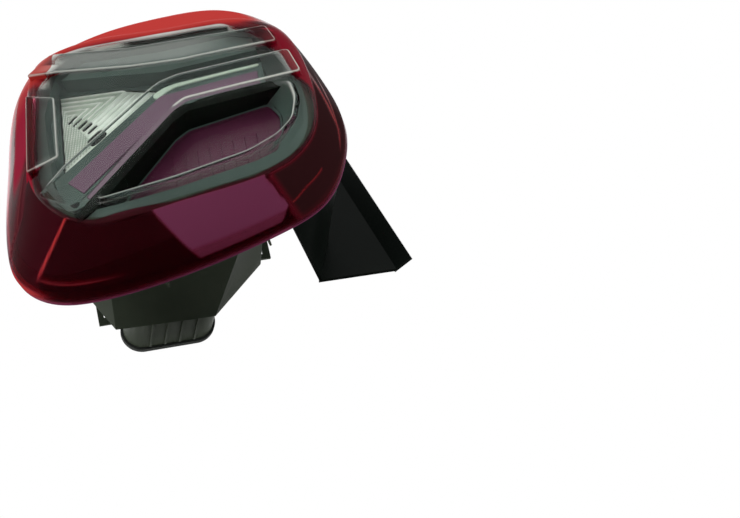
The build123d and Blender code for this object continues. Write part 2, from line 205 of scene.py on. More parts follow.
def set_attributes(piece: Piece, **values: Array) -> None:
    """Store numbers for each vertex, which a material can read.

    Args:
        piece: Mesh object.
        values: Numbers in the order of the vertices, by the attribute's name.
    """
    for name, numbers in values.items():
        attribute = piece.data.attributes.new(name, "FLOAT", "POINT")
        attribute.data.foreach_set("value", numbers.astype(np.float32).ravel())


# Outlines in the plane of the lens rim


def ramp(value: Array, start: float, end: float) -> Array:
    """Smooth step from 0 at start to 1 at end, level at both."""
    share = np.clip((value - start) / (end - start), 0, 1)
    return share * share * (3 - 2 * share)


def between(value: Array, span: Span) -> Array:
    """Smooth step up over the first two numbers of a span and down over the last two."""
    return ramp(value, *span[:2]) * ramp(-value, -span[3], -span[2])


def bell(value: Array, middle: float, width: float) -> Array:
    """Bell curve: 1 in the middle, and 1/e at one width from it."""
    return np.exp(-(((value - middle) / width) ** 2))


def side_lengths(knots: Array) -> Array:
    """Lengths of the straight sides of a closed outline."""
    return np.linalg.norm(np.roll(knots, -1, 0) - knots, axis=1)


def left_of(along: Array) -> Array:
    """Unit directions to the left of others, in the plane."""
    along = along / np.linalg.norm(along, axis=1)[:, None]
    return np.stack([-along[:, 1], along[:, 0]], axis=1)


def inset(curve: Array, distance: float) -> Array:
    """Move the points of an outline that turns left inwards by a distance."""
    return curve + distance * left_of(np.roll(curve, -1, 0) - np.roll(curve, 1, 0))


def curve_steps(points: Points, count: int) -> tuple[Array, Array]:
    """Spread steps evenly along a closed outline, by the lengths of its chords.

    Args:
        points: Corner points of the outline.
        count: Number of steps.

    Returns:
        The number of each step's chord and the share of that chord.
    """
    chord = side_lengths(np.asarray(points, float))
    start = np.concatenate([[0.0], np.cumsum(chord)])
    where = np.linspace(0, start[-1], count, endpoint=False)
    piece = np.searchsorted(start, where, side="right") - 1
    return piece, (where - start[piece]) / chord[piece]


def closed_curve(points: Points, piece: Array, share: Array) -> Array:
    """Smooth closed curve through points, at given places.

    A periodic cubic runs through the points, with equal slopes and bends where two stretches meet. Its
    second derivatives solve one cyclic set of linear equations.

    Args:
        points: Points that the curve goes through.
        piece: Number of the stretch for each place.
        share: Share of that stretch, from 0 to 1.

    Returns:
        Across and up of each place.
    """
    knots = np.asarray(points, float)
    count = len(knots)
    chord = side_lengths(knots)
    order = np.arange(count)
    system = np.zeros((count, count))
    system[order, order] = 2 * (chord + np.roll(chord, 1))
    system[order, (order + 1) % count] = chord
    system[order, (order - 1) % count] = np.roll(chord, 1)
    slope = (np.roll(knots, -1, 0) - knots) / chord[:, None]
    bend = np.linalg.solve(system, 6 * (slope - np.roll(slope, 1, 0)))
    after = (piece + 1) % count
    run = chord[piece][:, None]
    behind, ahead = share[:, None] * run, (1 - share[:, None]) * run
    curved = (bend[piece] * ahead**3 + bend[after] * behind**3) / (6 * run)
    first = (knots[piece] / run - bend[piece] * run / 6) * ahead
    return curved + first + (knots[after] / run - bend[after] * run / 6) * behind


def rounded_polygon(points: Points, radius: float, count: int = 720) -> Array:
    """Straight-sided outline with soft corners: each point is the mean of its neighbours within a radius.

    Args:
        points: Corners of the outline.
        radius: Half of the stretch that is averaged, in millimetres.
        count: Number of points.

    Returns:
        Across and up of the points.
    """
    knots = np.asarray(points, float)
    piece, share = curve_steps(points, count)
    dense = knots[piece] + (np.roll(knots, -1, 0)[piece] - knots[piece]) * share[:, None]
    reach = max(1, round(radius * count / side_lengths(knots).sum()))
    total = np.cumsum(np.concatenate([dense[-reach:], dense, dense[:reach + 1]]), axis=0)
    window = 2 * reach
    return (total[window:window + count] - total[:count]) / window


def spokes(curve: Array, hub: Array, angles: Array) -> Array:
    """Distances from a hub to an outline that is seen whole from it, at given angles.

    Args:
        curve: Points of the outline.
        hub: Across and up of the hub.
        angles: Directions in radians.

    Returns:
        Distances, one for each angle.
    """
    across, up = (curve - hub).T
    return np.interp(angles, np.arctan2(up, across), np.hypot(across, up), period=2 * math.pi)


def outline_distance(points: Points | Array, across: Array, up: Array) -> Array:
    """Distance from a closed straight-sided outline, negative inside it.

    The distance is the least of those to the sides. A place is inside if a ray from it crosses an odd number
    of them.

    Args:
        points: Corners of the outline.
        across: First coordinates of the places.
        up: Second coordinates of the places.

    Returns:
        Signed distances in the shape of the places.
    """
    start = np.asarray(points, float)
    side = np.roll(start, -1, 0) - start
    off_x, off_y = across[..., None] - start[:, 0], up[..., None] - start[:, 1]
    share = np.clip((off_x * side[:, 0] + off_y * side[:, 1]) / (side**2).sum(1), 0, 1)
    gap = np.hypot(off_x - share * side[:, 0], off_y - share * side[:, 1]).min(-1)
    spans = (off_y >= 0) != (off_y - side[:, 1] >= 0)
    rise = np.where(side[:, 1] == 0, 1, side[:, 1])
    crossed = spans & (off_x < side[:, 0] * off_y / rise)
    return np.where(crossed.sum(-1) % 2 == 1, -gap, gap)


@dataclass(frozen=True)
class LensPlane:
    """Plane of the lens rim: turned outboard by yaw and tipped up by pitch, in millimetres and degrees."""

    centre: Triple = (-2, -155, 1)
    yaw: float = 21
    pitch: float = 16

    def place(self, across: Array, up: Array, height: Array) -> Array:
        """Turn across, up and height above the rim into the lamp's own coordinates.

        Args:
            across: Distance along the rim's plane to the tailgate.
            up: Distance up the rim's plane.
            height: Distance above it.

        Returns:
            Points in millimetres, with their three coordinates last.
        """
        flat = np.stack(np.broadcast_arrays(across, up, height), axis=-1).astype(float)
        return np.array(self.centre) + flat @ self.axes()

    def measure(self, points: Array) -> Array:
        """Turn points of the lamp into across, up and height, as three rows."""
        return self.axes() @ (points - np.array(self.centre)).T

    def axes(self) -> Array:
        """Directions of across, up and height, as the rows of a turn."""
        yaw, pitch = math.radians(self.yaw), math.radians(self.pitch)
        side = np.array([math.cos(yaw), -math.sin(yaw), 0])
        flat = np.array([-math.sin(yaw), -math.cos(yaw), 0]) * math.cos(pitch)
        out = flat + np.array([0, 0, math.sin(pitch)])
        return np.stack([side, np.cross(out, side), out])


PLANE = LensPlane()


# Finishes: each names a real material and builds it from nodes


class Surface(Enum):
    """How a moulded surface was made, by the depth of its grain."""

    POLISHED = 0.02
    SATIN = 0.08
    SPARK_ERODED = 0.2


@dataclass(frozen=True)
class Finish:
    """Finish of a surface, named for its real material. Each kind works out the sockets of one shader."""

    name: str

    def material(self) -> Material:
        """Build the material, with its patterns on Object coordinates.

        Returns:
            The new material.
        """
        made = bpy.data.materials.new(self.name)
        made.use_nodes = True
        tree = made.node_tree
        place = add_node(tree, "TexCoord", "Object")
        feed(tree, tree.nodes["Principled BSDF"], self.sockets(tree, place))
        return made

    def sockets(self, tree: Tree, place: Socket) -> dict:
        """Work out the shader's sockets, by name, from the node tree and the place on the surface."""
        raise NotImplementedError

    def dress(self, piece: Piece, slot: str, *nodes: str) -> Piece:
        """Give a finished piece this material and its place in the frame.

        Args:
            piece: Mesh object.
            slot: Material slot of the record; not used.
            nodes: Solids of the frame that the piece stands for.

        Returns:
            The same piece.
        """
        piece.data.materials.clear()
        piece.data.materials.append(self.material())
        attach(piece, BODY)
        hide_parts(*nodes)
        return piece


@dataclass(frozen=True)
class TwoShotAcrylic(Finish):
    """Acrylic moulded in two shots, polished: clear or red, see-through, with a painted glow at its edges.

    Its IOR is far below acrylic's 1.49. It was matched to the object, whose inside shows straight and
    without a white veil at flat angles. The ripple is the slow wave of a moulded face.
    """

    # The lit colour is painted glow, the shade colour painted shade, and the pale colour painted highlights;
    # the purple is a coated wall seen through, with painted light
    clear: str = "#EEF4EE"
    red: str = "#920E2A"
    lit: str = "#BA3832"
    shade: str = "#140B0C"
    backing_and_painted_light: str = "#7E4A70"
    pale: str = "#D2D4CA"
    roughness: float = 0.012
    ior: float = 1.14
    gloss: float = 0.0
    ripple_mm: float = 9.0
    ripple: float = 0.01
    blur_mm: float = 0.4

    def sockets(self, tree: Tree, place: Socket) -> dict:
        """Work out the sockets from six attributes.

        The signed distance "red_mm" from the line between the shots picks the tint. "glow" is painted light:
        it gives the red shot the lit colour and more body where light gathers in it. "backing" gives it the
        colour of a coated wall close behind it, partly painted light, and more body. "deep" is painted shade,
        which darkens it where the housing stands close behind. "edge" paints highlights as pale lines on the
        narrow edges of the steps, and "dense" marks the red that is seen edge on.

        Args:
            tree: Node tree of the material.
            place: Object coordinates.

        Returns:
            Values and links of the shader's sockets, by name.
        """
        wave = add_node(tree, "TexNoise", "Fac", {"Vector": place, "Scale": 1 / (self.ripple_mm * MM)})
        zone = {
            name: add_node(tree, "Attribute", "Fac", attribute_name=name)
            for name in ("red_mm", "glow", "backing_and_painted_light", "painted_shade", "edge", "dense")
        }
        blur = {"Value": zone["red_mm"], "From Min": -self.blur_mm, "From Max": self.blur_mm}
        shot = add_node(tree, "MapRange", "Result", blur)
        tint = linear(self.red)
        layers = [(zone["glow"], self.lit), (zone["backing_and_painted_light"], self.backing_and_painted_light), (zone["painted_shade"], self.shade)]
        for share, colour in layers:
            layer = {"Factor": share, "A": tint, "B": linear(colour)}
            tint = add_node(tree, "Mix", "Result", layer, data_type="RGBA")
        layer = {"Factor": shot, "A": linear(self.clear), "B": tint}
        tint = add_node(tree, "Mix", "Result", layer, data_type="RGBA")
        layer = {"Factor": zone["edge"], "A": tint, "B": linear(self.pale)}
        tint = add_node(tree, "Mix", "Result", layer, data_type="RGBA")
        body = zone["glow"]
        for name in ("backing_and_painted_light", "edge", "dense", "painted_shade"):
            body = add_node(tree, "Math", "Value", {0: body, 1: zone[name]}, operation="MAXIMUM")
        dull = {"Value": wave, "To Min": self.roughness, "To Max": 2 * self.roughness}
        bump = {"Height": wave, "Strength": self.ripple, "Distance": MM}
        return {
            "IOR": self.ior,
            "Specular IOR Level": self.gloss,
            "Base Color": tint,
            "Transmission Weight": add_node(
                tree, "MapRange", "Result", {"Value": body, "To Min": 1.0, "To Max": 0.0}
            ),
            "Roughness": add_node(tree, "MapRange", "Result", dull),
            "Normal": add_node(tree, "Bump", "Normal", bump),
        }


@dataclass(frozen=True)
class MouldedPlastic(Finish):
    """Injection-moulded plastic: even colour with faint flow clouds, and the fine grain of its mould.

    A real grain is about 0.1 mm. It is drawn at 0.7 to 2 mm, as coarse as it needs to be to show.
    """

    dark: str
    light: str
    roughness: float
    surface: Surface = Surface.SATIN
    grain_mm: float = 0.9
    cloud_mm: float = 45.0
    gloss: float = 0.5

    def sockets(self, tree: Tree, place: Socket) -> dict:
        """Work out the sockets: clouds of two tones, grain as bump, and roughness that follows the grain.

        Args:
            tree: Node tree of the material.
            place: Object coordinates.

        Returns:
            Values and links of the shader's sockets, by name.
        """
        cloud, grain = (
            add_node(tree, "TexNoise", "Fac", {"Vector": place, "Scale": 1 / (size * MM), "Detail": detail})
            for size, detail in ((self.cloud_mm, 4.0), (self.grain_mm, 3.0))
        )
        tone = {"Factor": cloud, "A": linear(self.dark), "B": linear(self.light)}
        dull = {"Value": grain, "To Min": 0.8 * self.roughness, "To Max": 1.2 * self.roughness}
        bump = {"Height": grain, "Strength": self.surface.value, "Distance": MM}
        return {
            "Specular IOR Level": self.gloss,
            "Base Color": add_node(tree, "Mix", "Result", tone, data_type="RGBA"),
            "Roughness": add_node(tree, "MapRange", "Result", dull),
            "Normal": add_node(tree, "Bump", "Normal", bump),
        }


@dataclass(frozen=True)
class BrightMetal(Finish):
    """Metal skin: vacuum-coated aluminium or zinc plate, with soft clouds in its shine.

    A skin with relief reads two attributes: "crest" paints highlights and shade on its relief, and "gap"
    paints the slots dark as painted shade of their recess, without metal.
    """

    dark: str
    light: str
    roughness: float
    cloud_mm: float = 12.0
    metal: float = 1.0
    relief: bool = False
    slot_shade_colour: str = "#161C1C"
    gloss: float = 0.1

    def sockets(self, tree: Tree, place: Socket) -> dict:
        """Work out the sockets: metallic, two tones in clouds and on crests, and bare plastic in gaps.

        Args:
            tree: Node tree of the material.
            place: Object coordinates.

        Returns:
            Values and links of the shader's sockets, by name.
        """
        spread = {"Vector": place, "Scale": 1 / (self.cloud_mm * MM), "Detail": 5.0}
        cloud = add_node(tree, "TexNoise", "Fac", spread)
        dull = {"Value": cloud, "To Min": 0.7 * self.roughness, "To Max": 1.3 * self.roughness}
        share, metal = cloud, self.metal
        if self.relief:
            # Painted highlights and shade follow the relief
            crest = add_node(tree, "Attribute", "Fac", attribute_name="crest")
            share = add_node(tree, "Math", "Value", {0: cloud, 1: crest}, operation="MULTIPLY")
        tone = {"Factor": share, "A": linear(self.dark), "B": linear(self.light)}
        colour = add_node(tree, "Mix", "Result", tone, data_type="RGBA")
        if self.relief:
            # The slots are painted dark: painted shade of their recess, without metal
            gap = add_node(tree, "Attribute", "Fac", attribute_name="gap")
            slot_shade = {"Factor": gap, "A": colour, "B": linear(self.slot_shade_colour)}
            colour = add_node(tree, "Mix", "Result", slot_shade, data_type="RGBA")
            metal = add_node(tree, "MapRange", "Result", {"Value": gap, "To Min": metal, "To Max": 0.0})
        return {
            "Metallic": metal,
            "Specular IOR Level": self.gloss,
            "Base Color": colour,
            "Roughness": add_node(tree, "MapRange", "Result", dull),
        }


@dataclass(frozen=True)
class CellFoam(Finish):
    """Closed-cell rubber foam, skinned: matt, with small round cells."""

    dark: str
    light: str
    cell_mm: float = 1.1
    roughness: float = 0.9
    pit: float = 0.5

    def sockets(self, tree: Tree, place: Socket) -> dict:
        """Work out the sockets: cells set both the tone and the bump.

        Args:
            tree: Node tree of the material.
            place: Object coordinates.

        Returns:
            Values and links of the shader's sockets, by name.
        """
        spread = {"Vector": place, "Scale": 1 / (self.cell_mm * MM)}
        cells = add_node(tree, "TexVoronoi", "Distance", spread)
        tone = {"Factor": cells, "A": linear(self.dark), "B": linear(self.light)}
        bump = {"Height": cells, "Strength": self.pit, "Distance": 0.5 * MM}
        return {
            "Roughness": self.roughness,
            "Base Color": add_node(tree, "Mix", "Result", tone, data_type="RGBA"),
            "Normal": add_node(tree, "Bump", "Normal", bump),
        }


# Lens: two shots of acrylic, plate, walls and raised steps


@dataclass(frozen=True)
class Streak:
    """Painted line of light or shade in the red walls, in two numbers.

    They are the place round the lens, counted in the points of the face and below zero on the left end, and
    the share of the way up the wall.
    """

    path: Points
    width: float
    span: Span
    strength: float
    foot: Place = (-2.0, -1.0)

    def light(self, around: Array, share: Array) -> Array:
        """Strength of the line: a bell curve across its path, which fades over its span and at its foot.

        Args:
            around: Places round the lens.
            share: Shares of the way up.

        Returns:
            Strengths from 0 to 1.
        """
        level = np.interp(around, *np.transpose(self.path))
        along = between(around, self.span) * ramp(share, *self.foot)
        return self.strength * bell(share, level, self.width) * along


@dataclass(frozen=True)
class Step:
    """Raised step of the lens face: its outline at the top and at the foot, and a hub that sees all of it.

    A painted highlight runs along its top edge, except in the zone without it, and its top is frosted on the
    left.
    """

    name: str
    top: Points
    top_height: float
    hub: Place
    foot: Points | None = None
    foot_height: float = 40.0
    corner: float = 3.0
    edge: float = 1.2
    shine: float = 0.7
    frost: float = 0.0
    no_highlight_zone: Points | None = None


@dataclass
class Lens:
    """Stepped lens: red walls from rim to face, and a clear plate with a pocket, two bars and an end block.

    The spans say where round the lens the rim and the crown take a painted glow, the wall a faint tint of
    painted light, the left end looks dense, and the right end takes painted shade. The backed zone is an
    outline in the two numbers of a streak.
    """

    rim: Points
    face: Points
    shot_line: Points
    pocket_mouth: Points
    pocket_bed: Points
    backed_zone: Points
    streaks: list[Streak]
    shadow: Streak
    steps: list[Step]
    wall: float = 3.0
    lip: float = 7.0
    face_height: float = 46.0
    crown_height: float = 54.8
    crown_run: float = 10.0
    pocket_floor: float = 30.0
    pocket_corner: float = 5.0
    shot_corner: float = 4.0
    mouth_edge: float = 1.6
    bed_edge: float = 4.0
    wall_bow: float = 1.18
    wall_slope: float = 1.15
    wall_steps: int = 40
    rim_margin: float = 0.35
    skin_gap: float = 0.06
    foot_depth: float = 1.2
    haze: float = 0.006
    columns: int = 480
    sharp_turn: float = 38.0
    hub: Place = (28.0, -27.0)
    rim_span: Span = (0.2, 0.8, 1.4, 2.2)
    crown_span: Span = (9.6, 10.6, 14.0, 15.0)
    tint_span: Span = (-1.5, -0.5, 1.65, 1.75)
    left_span: Span = (-2.2, -1.6, -0.5, -0.2)
    right_span: Span = (5.25, 5.5, 10.2, 11.0)
    # Polished red acrylic: rich red and see-through, near black over the dark inside; painted glow makes it
    # orange where light gathers, and painted shade darkens its right end
    red_finish: TwoShotAcrylic = TwoShotAcrylic("two_shot_red_acrylic", ior=1.07)
    # Polished clear acrylic: as clear as water, with painted highlights as pale lines where its narrow edges
    # catch the light
    clear_finish: TwoShotAcrylic = TwoShotAcrylic("two_shot_clear_acrylic")

    def __post_init__(self) -> None:
        """Work out the dense outlines that all the pieces share, and the shoulder between line and arc."""
        self.piece, self.share = curve_steps(self.face, self.columns)
        self.rim_curve = inset(closed_curve(self.rim, self.piece, self.share), self.rim_margin)
        self.face_curve = closed_curve(self.face, self.piece, self.share)
        self.mouth_curve = rounded_polygon(self.pocket_mouth, self.pocket_corner)
        self.bed_curve = rounded_polygon(self.pocket_bed, self.pocket_corner)
        self.shot_curve = rounded_polygon(self.shot_line, self.shot_corner, 240)
        turn = np.linspace(0, QUARTER, 13)
        self.shoulder_in = (turn / QUARTER + 1 - np.cos(turn)) / 2
        self.shoulder_up = (turn / QUARTER + np.sin(turn)) / 2

    def ground(self, across: Array, up: Array) -> Array:
        """Height of the plain outer skin, without steps and pocket.

        Inside the face it follows the shoulder by the distance from the face's edge. Outside it falls on the
        wall's mean slope.

        Args:
            across: First coordinates.
            up: Second coordinates.

        Returns:
            Heights in the same shape.
        """
        inside = -outline_distance(self.face_curve, across, up)
        rise = np.interp(inside / self.crown_run, self.shoulder_in, self.shoulder_up)
        over = self.face_height + (self.crown_height - self.face_height) * rise
        return np.where(inside > 0, over, self.face_height + self.wall_slope * inside)

    def wall_rows(self, distance: float, highest: float) -> tuple[Array, ...]:
        """Rows from the lip to the edge of the face: straight up the lip, then inwards on a slight bow.

        Args:
            distance: Distance inside the outer skin.
            highest: Height of the face's edge.

        Returns:
            Across, up, height and the share of the way up, in rows.
        """
        rim, face = inset(self.rim_curve, distance), inset(self.face_curve, distance + self.skin_gap)
        even = np.linspace(0, 1, self.wall_steps)
        share = np.concatenate([[0.0, 0.0], even])
        height = np.concatenate([[-self.lip, -self.lip / 2], highest * even])
        place = rim + (face - rim) * (share**self.wall_bow)[:, None, None]
        rows = [np.broadcast_to(value[:, None], place.shape[:2]) for value in (height, share)]
        return place[..., 0], place[..., 1], *rows

    def red_light(self, share: Array, height: Array) -> dict[str, Array]:
        """Where light and shade are painted on the red walls, and where a coated wall shows close behind
        them.

        Args:
            share: Share of the way up, in rows.
            height: Height above the rim, in rows.

        Returns:
            Attributes from 0 to 1, in rows, by name.
        """
        count = len(self.face)
        around = np.broadcast_to(self.piece + self.share, share.shape)
        far = np.where(around > 0.75 * count, around - count, around)
        # Painted glow: the rim in its lowest millimetres, most at the lower left corner, the crown to its
        # top, and the lines of the streaks
        rim = ramp(-height, -4.5, -1.0) * (0.05 + 0.95 * between(far, self.rim_span))
        crown = ramp(share, 0.1, 0.3) * between(around, self.crown_span)
        glow = np.max([*(streak.light(far, share) for streak in self.streaks), rim, crown], axis=0)
        # A coated wall backs its zone, with painted light stronger above its fold. Painted light tints the
        # wall faintly, more at the left, and the lip is tinted strongly
        inside = -outline_distance(self.backed_zone, around, share)
        backing_and_painted_light = np.max([
            ramp(inside, 0.0, 0.03) * (0.45 + 0.2 * ramp(share, 0.24, 0.30)),
            0.03 + 0.05 * between(far, self.tint_span),
            0.85 * ramp(-height, 3.0, 4.5),
        ], axis=0)
        # Painted shade: the right end and the painted shadow are dark, apart from the painted glow and where
        # the coated wall shows
        right_end = between(around, self.right_span) * ramp(-share, -1.02, -0.93)
        painted_shade = np.maximum(0.94 * right_end, self.shadow.light(far, share))
        return {
            "glow": glow,
            "backing_and_painted_light": backing_and_painted_light,
            "dense": 0.95 * ramp(share, 0.42, 0.58) * between(far, self.left_span),
            "painted_shade": painted_shade * (1 - glow) * (1 - ramp(backing_and_painted_light, 0.1, 0.3)),
            "edge": np.full(share.shape, self.haze),
        }

    def build_red(self) -> Piece:
        """Build the red walls as one closed ring: outer rows up, inner rows down.

        Returns:
            The walls, with their attributes.
        """
        outer = self.wall_rows(0.0, self.face_height)
        inner = self.wall_rows(self.wall, self.face_height - self.wall)
        across, up, height, share = (np.concatenate([a, b[::-1]]) for a, b in zip(outer, inner))
        faces = grid_faces(len(across), self.columns, True, True)
        piece = new_object("lens_red_shot", PLANE.place(across, up, height), faces)
        red_mm = outline_distance(self.shot_curve, across, up)
        set_attributes(piece, red_mm=red_mm, **self.red_light(share, height))
        return piece

    def plate_rows(self, depth: float, angles: Array) -> tuple[Array, Array]:
        """Rings of the plate, from the face's edge over the shoulder and into the pocket.

        Each ring is a distance from the hub for every angle: a mix of the outlines of face, crown, mouth and
        bed, moved by the depth. Shoulder, mouth and bed are rounded by quarter turns.

        Args:
            depth: Depth under the outer skin.
            angles: Directions of the columns.

        Returns:
            Distances from the hub and heights, in rings.
        """
        face, inner, mouth, brow, bed, toe = (
            spokes(inset(curve, distance), np.array(self.hub), angles)
            for curve, distance in (
                (self.face_curve, depth),
                (self.face_curve, depth + self.crown_run),
                (self.mouth_curve, -depth),
                (self.mouth_curve, -depth - self.mouth_edge),
                (self.bed_curve, -depth),
                (self.bed_curve, -depth - self.bed_edge / 2),
            )
        )
        # Where the pocket comes close to the edge, the shoulder keeps just outside it
        crown = np.maximum(inner, brow + 0.4)
        low, top, floor = self.face_height - depth, self.crown_height - depth, self.pocket_floor - depth
        under_mouth, over_bed = top - self.mouth_edge, floor + self.bed_edge
        turn = np.linspace(0, QUARTER, 7)[1:]
        even = np.linspace(0, 1, 12)[1:]
        stretches = [
            (face, crown, self.shoulder_in, low + (top - low) * self.shoulder_up),
            (crown, brow, even, np.full(even.shape, top)),
            (brow, mouth, np.sin(turn), top - self.mouth_edge * (1 - np.cos(turn))),
            (mouth, toe, even, under_mouth + (over_bed - under_mouth) * even),
            (toe, bed, 1 - np.cos(turn), floor + self.bed_edge * (1 - np.sin(turn))),
            (bed, 0 * bed, even[:-1], np.full(len(even) - 1, floor)),
        ]
        reach = np.concatenate([a + (b - a) * share[:, None] for a, b, share, _ in stretches])
        height = np.concatenate([rise for *_, rise in stretches])
        return reach, np.broadcast_to(height[:, None], reach.shape)

    @staticmethod
    def shell(name: str, hub: Place, across: Array, up: Array, height: Array) -> Piece:
        """Make a closed piece from rings that start and end at one hub.

        Args:
            name: Name of the piece.
            hub: Across and up of the two closing vertices.
            across: First coordinates, in rings.
            up: Second coordinates, in rings.
            height: Heights, in rings.

        Returns:
            The piece.
        """
        ends = (PLANE.place(*hub, row.mean()) for row in (height[0], height[-1]))
        return closed_object(name, PLANE.place(across, up, height), *ends)

    def build_plate(self) -> Piece:
        """Build the clear plate as one closed shell: inner rings from the hub out, outer rings back to it.

        Returns:
            The plate, without its steps.
        """
        seen = [curve - np.array(self.hub) for curve in (self.face_curve[::2], self.mouth_curve[::3])]
        angles = np.sort(np.concatenate([np.arctan2(arm[:, 1], arm[:, 0]) for arm in seen]))
        outer, inner = self.plate_rows(0.0, angles), self.plate_rows(self.wall, angles)
        reach, height = (np.concatenate([b[::-1], a]) for a, b in zip(outer, inner))
        across, up = self.hub[0] + reach * np.cos(angles), self.hub[1] + reach * np.sin(angles)
        return self.shell("lens_clear_shot", self.hub, across, up, height)

    def embed(self, across: Array, up: Array) -> Array:
        """How deep a step's foot sits in the skin: well inside the plate, and just clear of the red walls."""
        inside = -outline_distance(self.face_curve, across, up)
        return -self.skin_gap + (self.foot_depth + self.skin_gap) * ramp(inside, 0.5, 2.5)

    def build_step(self, step: Step) -> Piece:
        """Build one raised step as a closed piece that stands on the plain skin.

        Its side runs from the foot's outline to the top's in a straight line and starts where that line
        leaves the skin. A quarter turn rounds the top edge, and the underside follows the skin.

        Args:
            step: Outlines and heights of the step.

        Returns:
            The piece.
        """
        hub = np.array(step.hub)
        top_curve = rounded_polygon(step.top, step.corner)
        foot_curve = rounded_polygon(step.foot or step.top, step.corner)
        arm = top_curve - hub
        angles = np.sort(np.arctan2(arm[:, 1], arm[:, 0]))[::2]
        way = np.stack([np.cos(angles), np.sin(angles)])
        top, foot = spokes(top_curve, hub, angles), spokes(foot_curve, hub, angles)
        rim = spokes(inset(top_curve, step.edge), hub, angles)
        climb = np.linspace(0, 1, 80)[:, None]
        tall = step.top_height - step.foot_height
        reach, height = foot + (top - foot) * climb, step.foot_height + tall * climb
        across, up = hub[0] + reach * way[0], hub[1] + reach * way[1]
        free = height - self.ground(across, up) > -self.embed(across, up)
        # The side starts at the first height where it is free of the skin
        start = climb[np.argmax(free, axis=0), 0]
        stop = np.maximum(1 - step.edge / tall, start)
        share = start + (stop - start) * np.linspace(0, 1, 8)[:, None]
        turn = np.linspace(0, QUARTER, 7)[1:, None]
        inwards = np.linspace(0, 1, 10)[1:-1, None]
        reach = np.concatenate([
            (foot + (top - foot) * start) * inwards,
            foot + (top - foot) * share,
            top + (rim - top) * (1 - np.cos(turn)),
            rim * (1 - inwards),
        ])
        across, up = hub[0] + reach * way[0], hub[1] + reach * way[1]
        base = slice(0, len(inwards))
        over = step.top_height - step.edge * (1 - np.sin(turn))
        height = np.concatenate([
            self.ground(across[base], up[base]) - self.embed(across[base], up[base]),
            step.foot_height + tall * share,
            np.broadcast_to(over, (len(turn), len(angles))),
            np.full((len(inwards), len(angles)), step.top_height),
        ])
        return self.shell(step.name, step.hub, across, up, height)

    def build_clear(self) -> Piece:
        """Build the clear shot: the plate joined with its steps into one closed moulding.

        Its red margin takes a painted glow along the top, and is dense at the left and right ends.

        Returns:
            The moulding, with its attributes worked out from the places of its vertices.
        """
        plate = self.build_plate()
        steps = [self.build_step(step) for step in self.steps]
        for step in steps:
            join = plate.modifiers.new(step.name, "BOOLEAN")
            join.operation, join.solver, join.object = "UNION", "EXACT", step
        graph = bpy.context.evaluated_depsgraph_get()
        joined = bpy.data.meshes.new_from_object(plate.evaluated_get(graph))
        plate.modifiers.clear()
        plate.data = joined
        for step in steps:
            bpy.data.objects.remove(step)
        smooth(joined, self.sharp_turn)
        points = np.empty(3 * len(joined.vertices), np.float32)
        joined.vertices.foreach_get("co", points)
        across, up, height = PLANE.measure(points.reshape(-1, 3) / MM)
        line = outline_distance(self.shot_curve, across, up)
        # In millimetres: the outer side of the end block, the margin at the right, and the band of painted
        # glow along the top
        left = 0.9 * ramp(-across, 102.5, 105.5) * ramp(-up, -64, -56)
        right = 0.55 * ramp(line, 0.5, 3) * ramp(across, 82, 92) * ramp(up, -22, -6)
        set_attributes(
            plate,
            red_mm=line,
            glow=(0.06 + 0.84 * ramp(up, 62, 72)) * ramp(line, 0, 1),
            edge=self.edge_lines(across, up, height),
            dense=np.maximum(left, right),
        )
        return plate

    def edge_lines(self, across: Array, up: Array, height: Array) -> Array:
        """How strong the painted highlight is at each place: on the narrow rounded edge of a step's top, or
        of the pocket's lower side.

        Args:
            across: First coordinates.
            up: Second coordinates.
            height: Heights.

        Returns:
            One on an edge, falling to zero within a millimetre on a bell curve.
        """
        # The mouth's painted highlight line is half a millimetre outside its outline, and runs below the
        # pocket's long diagonal
        beyond = outline_distance(self.mouth_curve[::3], across, up)
        corner = self.pocket_mouth[0]
        below = corner[1] + 0.44 * (across - corner[0]) - up
        bright = 0.8 * bell(beyond, 0.5, 0.7) * (height > self.crown_height - 2.5)
        bright = bright * ramp(-up, 0, 6) * ramp(below, -2, 4)
        # A step's painted highlight line is half a millimetre inside its outline, on the last 1.6 mm of its
        # height
        for step in self.steps:
            within = -outline_distance(rounded_polygon(step.top, step.corner)[::2], across, up)
            on_top = height > step.top_height - 1.6
            line = step.shine * bell(within, 0.45, 0.5) * on_top
            if step.no_highlight_zone:
                line = line * (0.04 + 0.96 * ramp(outline_distance(step.no_highlight_zone, across, up), -1, 5))
            frost = step.frost * ramp(within, 0.5, 4) * on_top * ramp(-across, -70, -20)
            bright = np.max([bright, line, frost], axis=0)
        return bright

    def build(self) -> list[Piece]:
        """Build and dress the two shots."""
        red = self.red_finish.dress(self.build_red(), "red_acrylic", "lens_red")
        return [red, self.clear_finish.dress(self.build_clear(), "clear_acrylic", "lens_clear")]


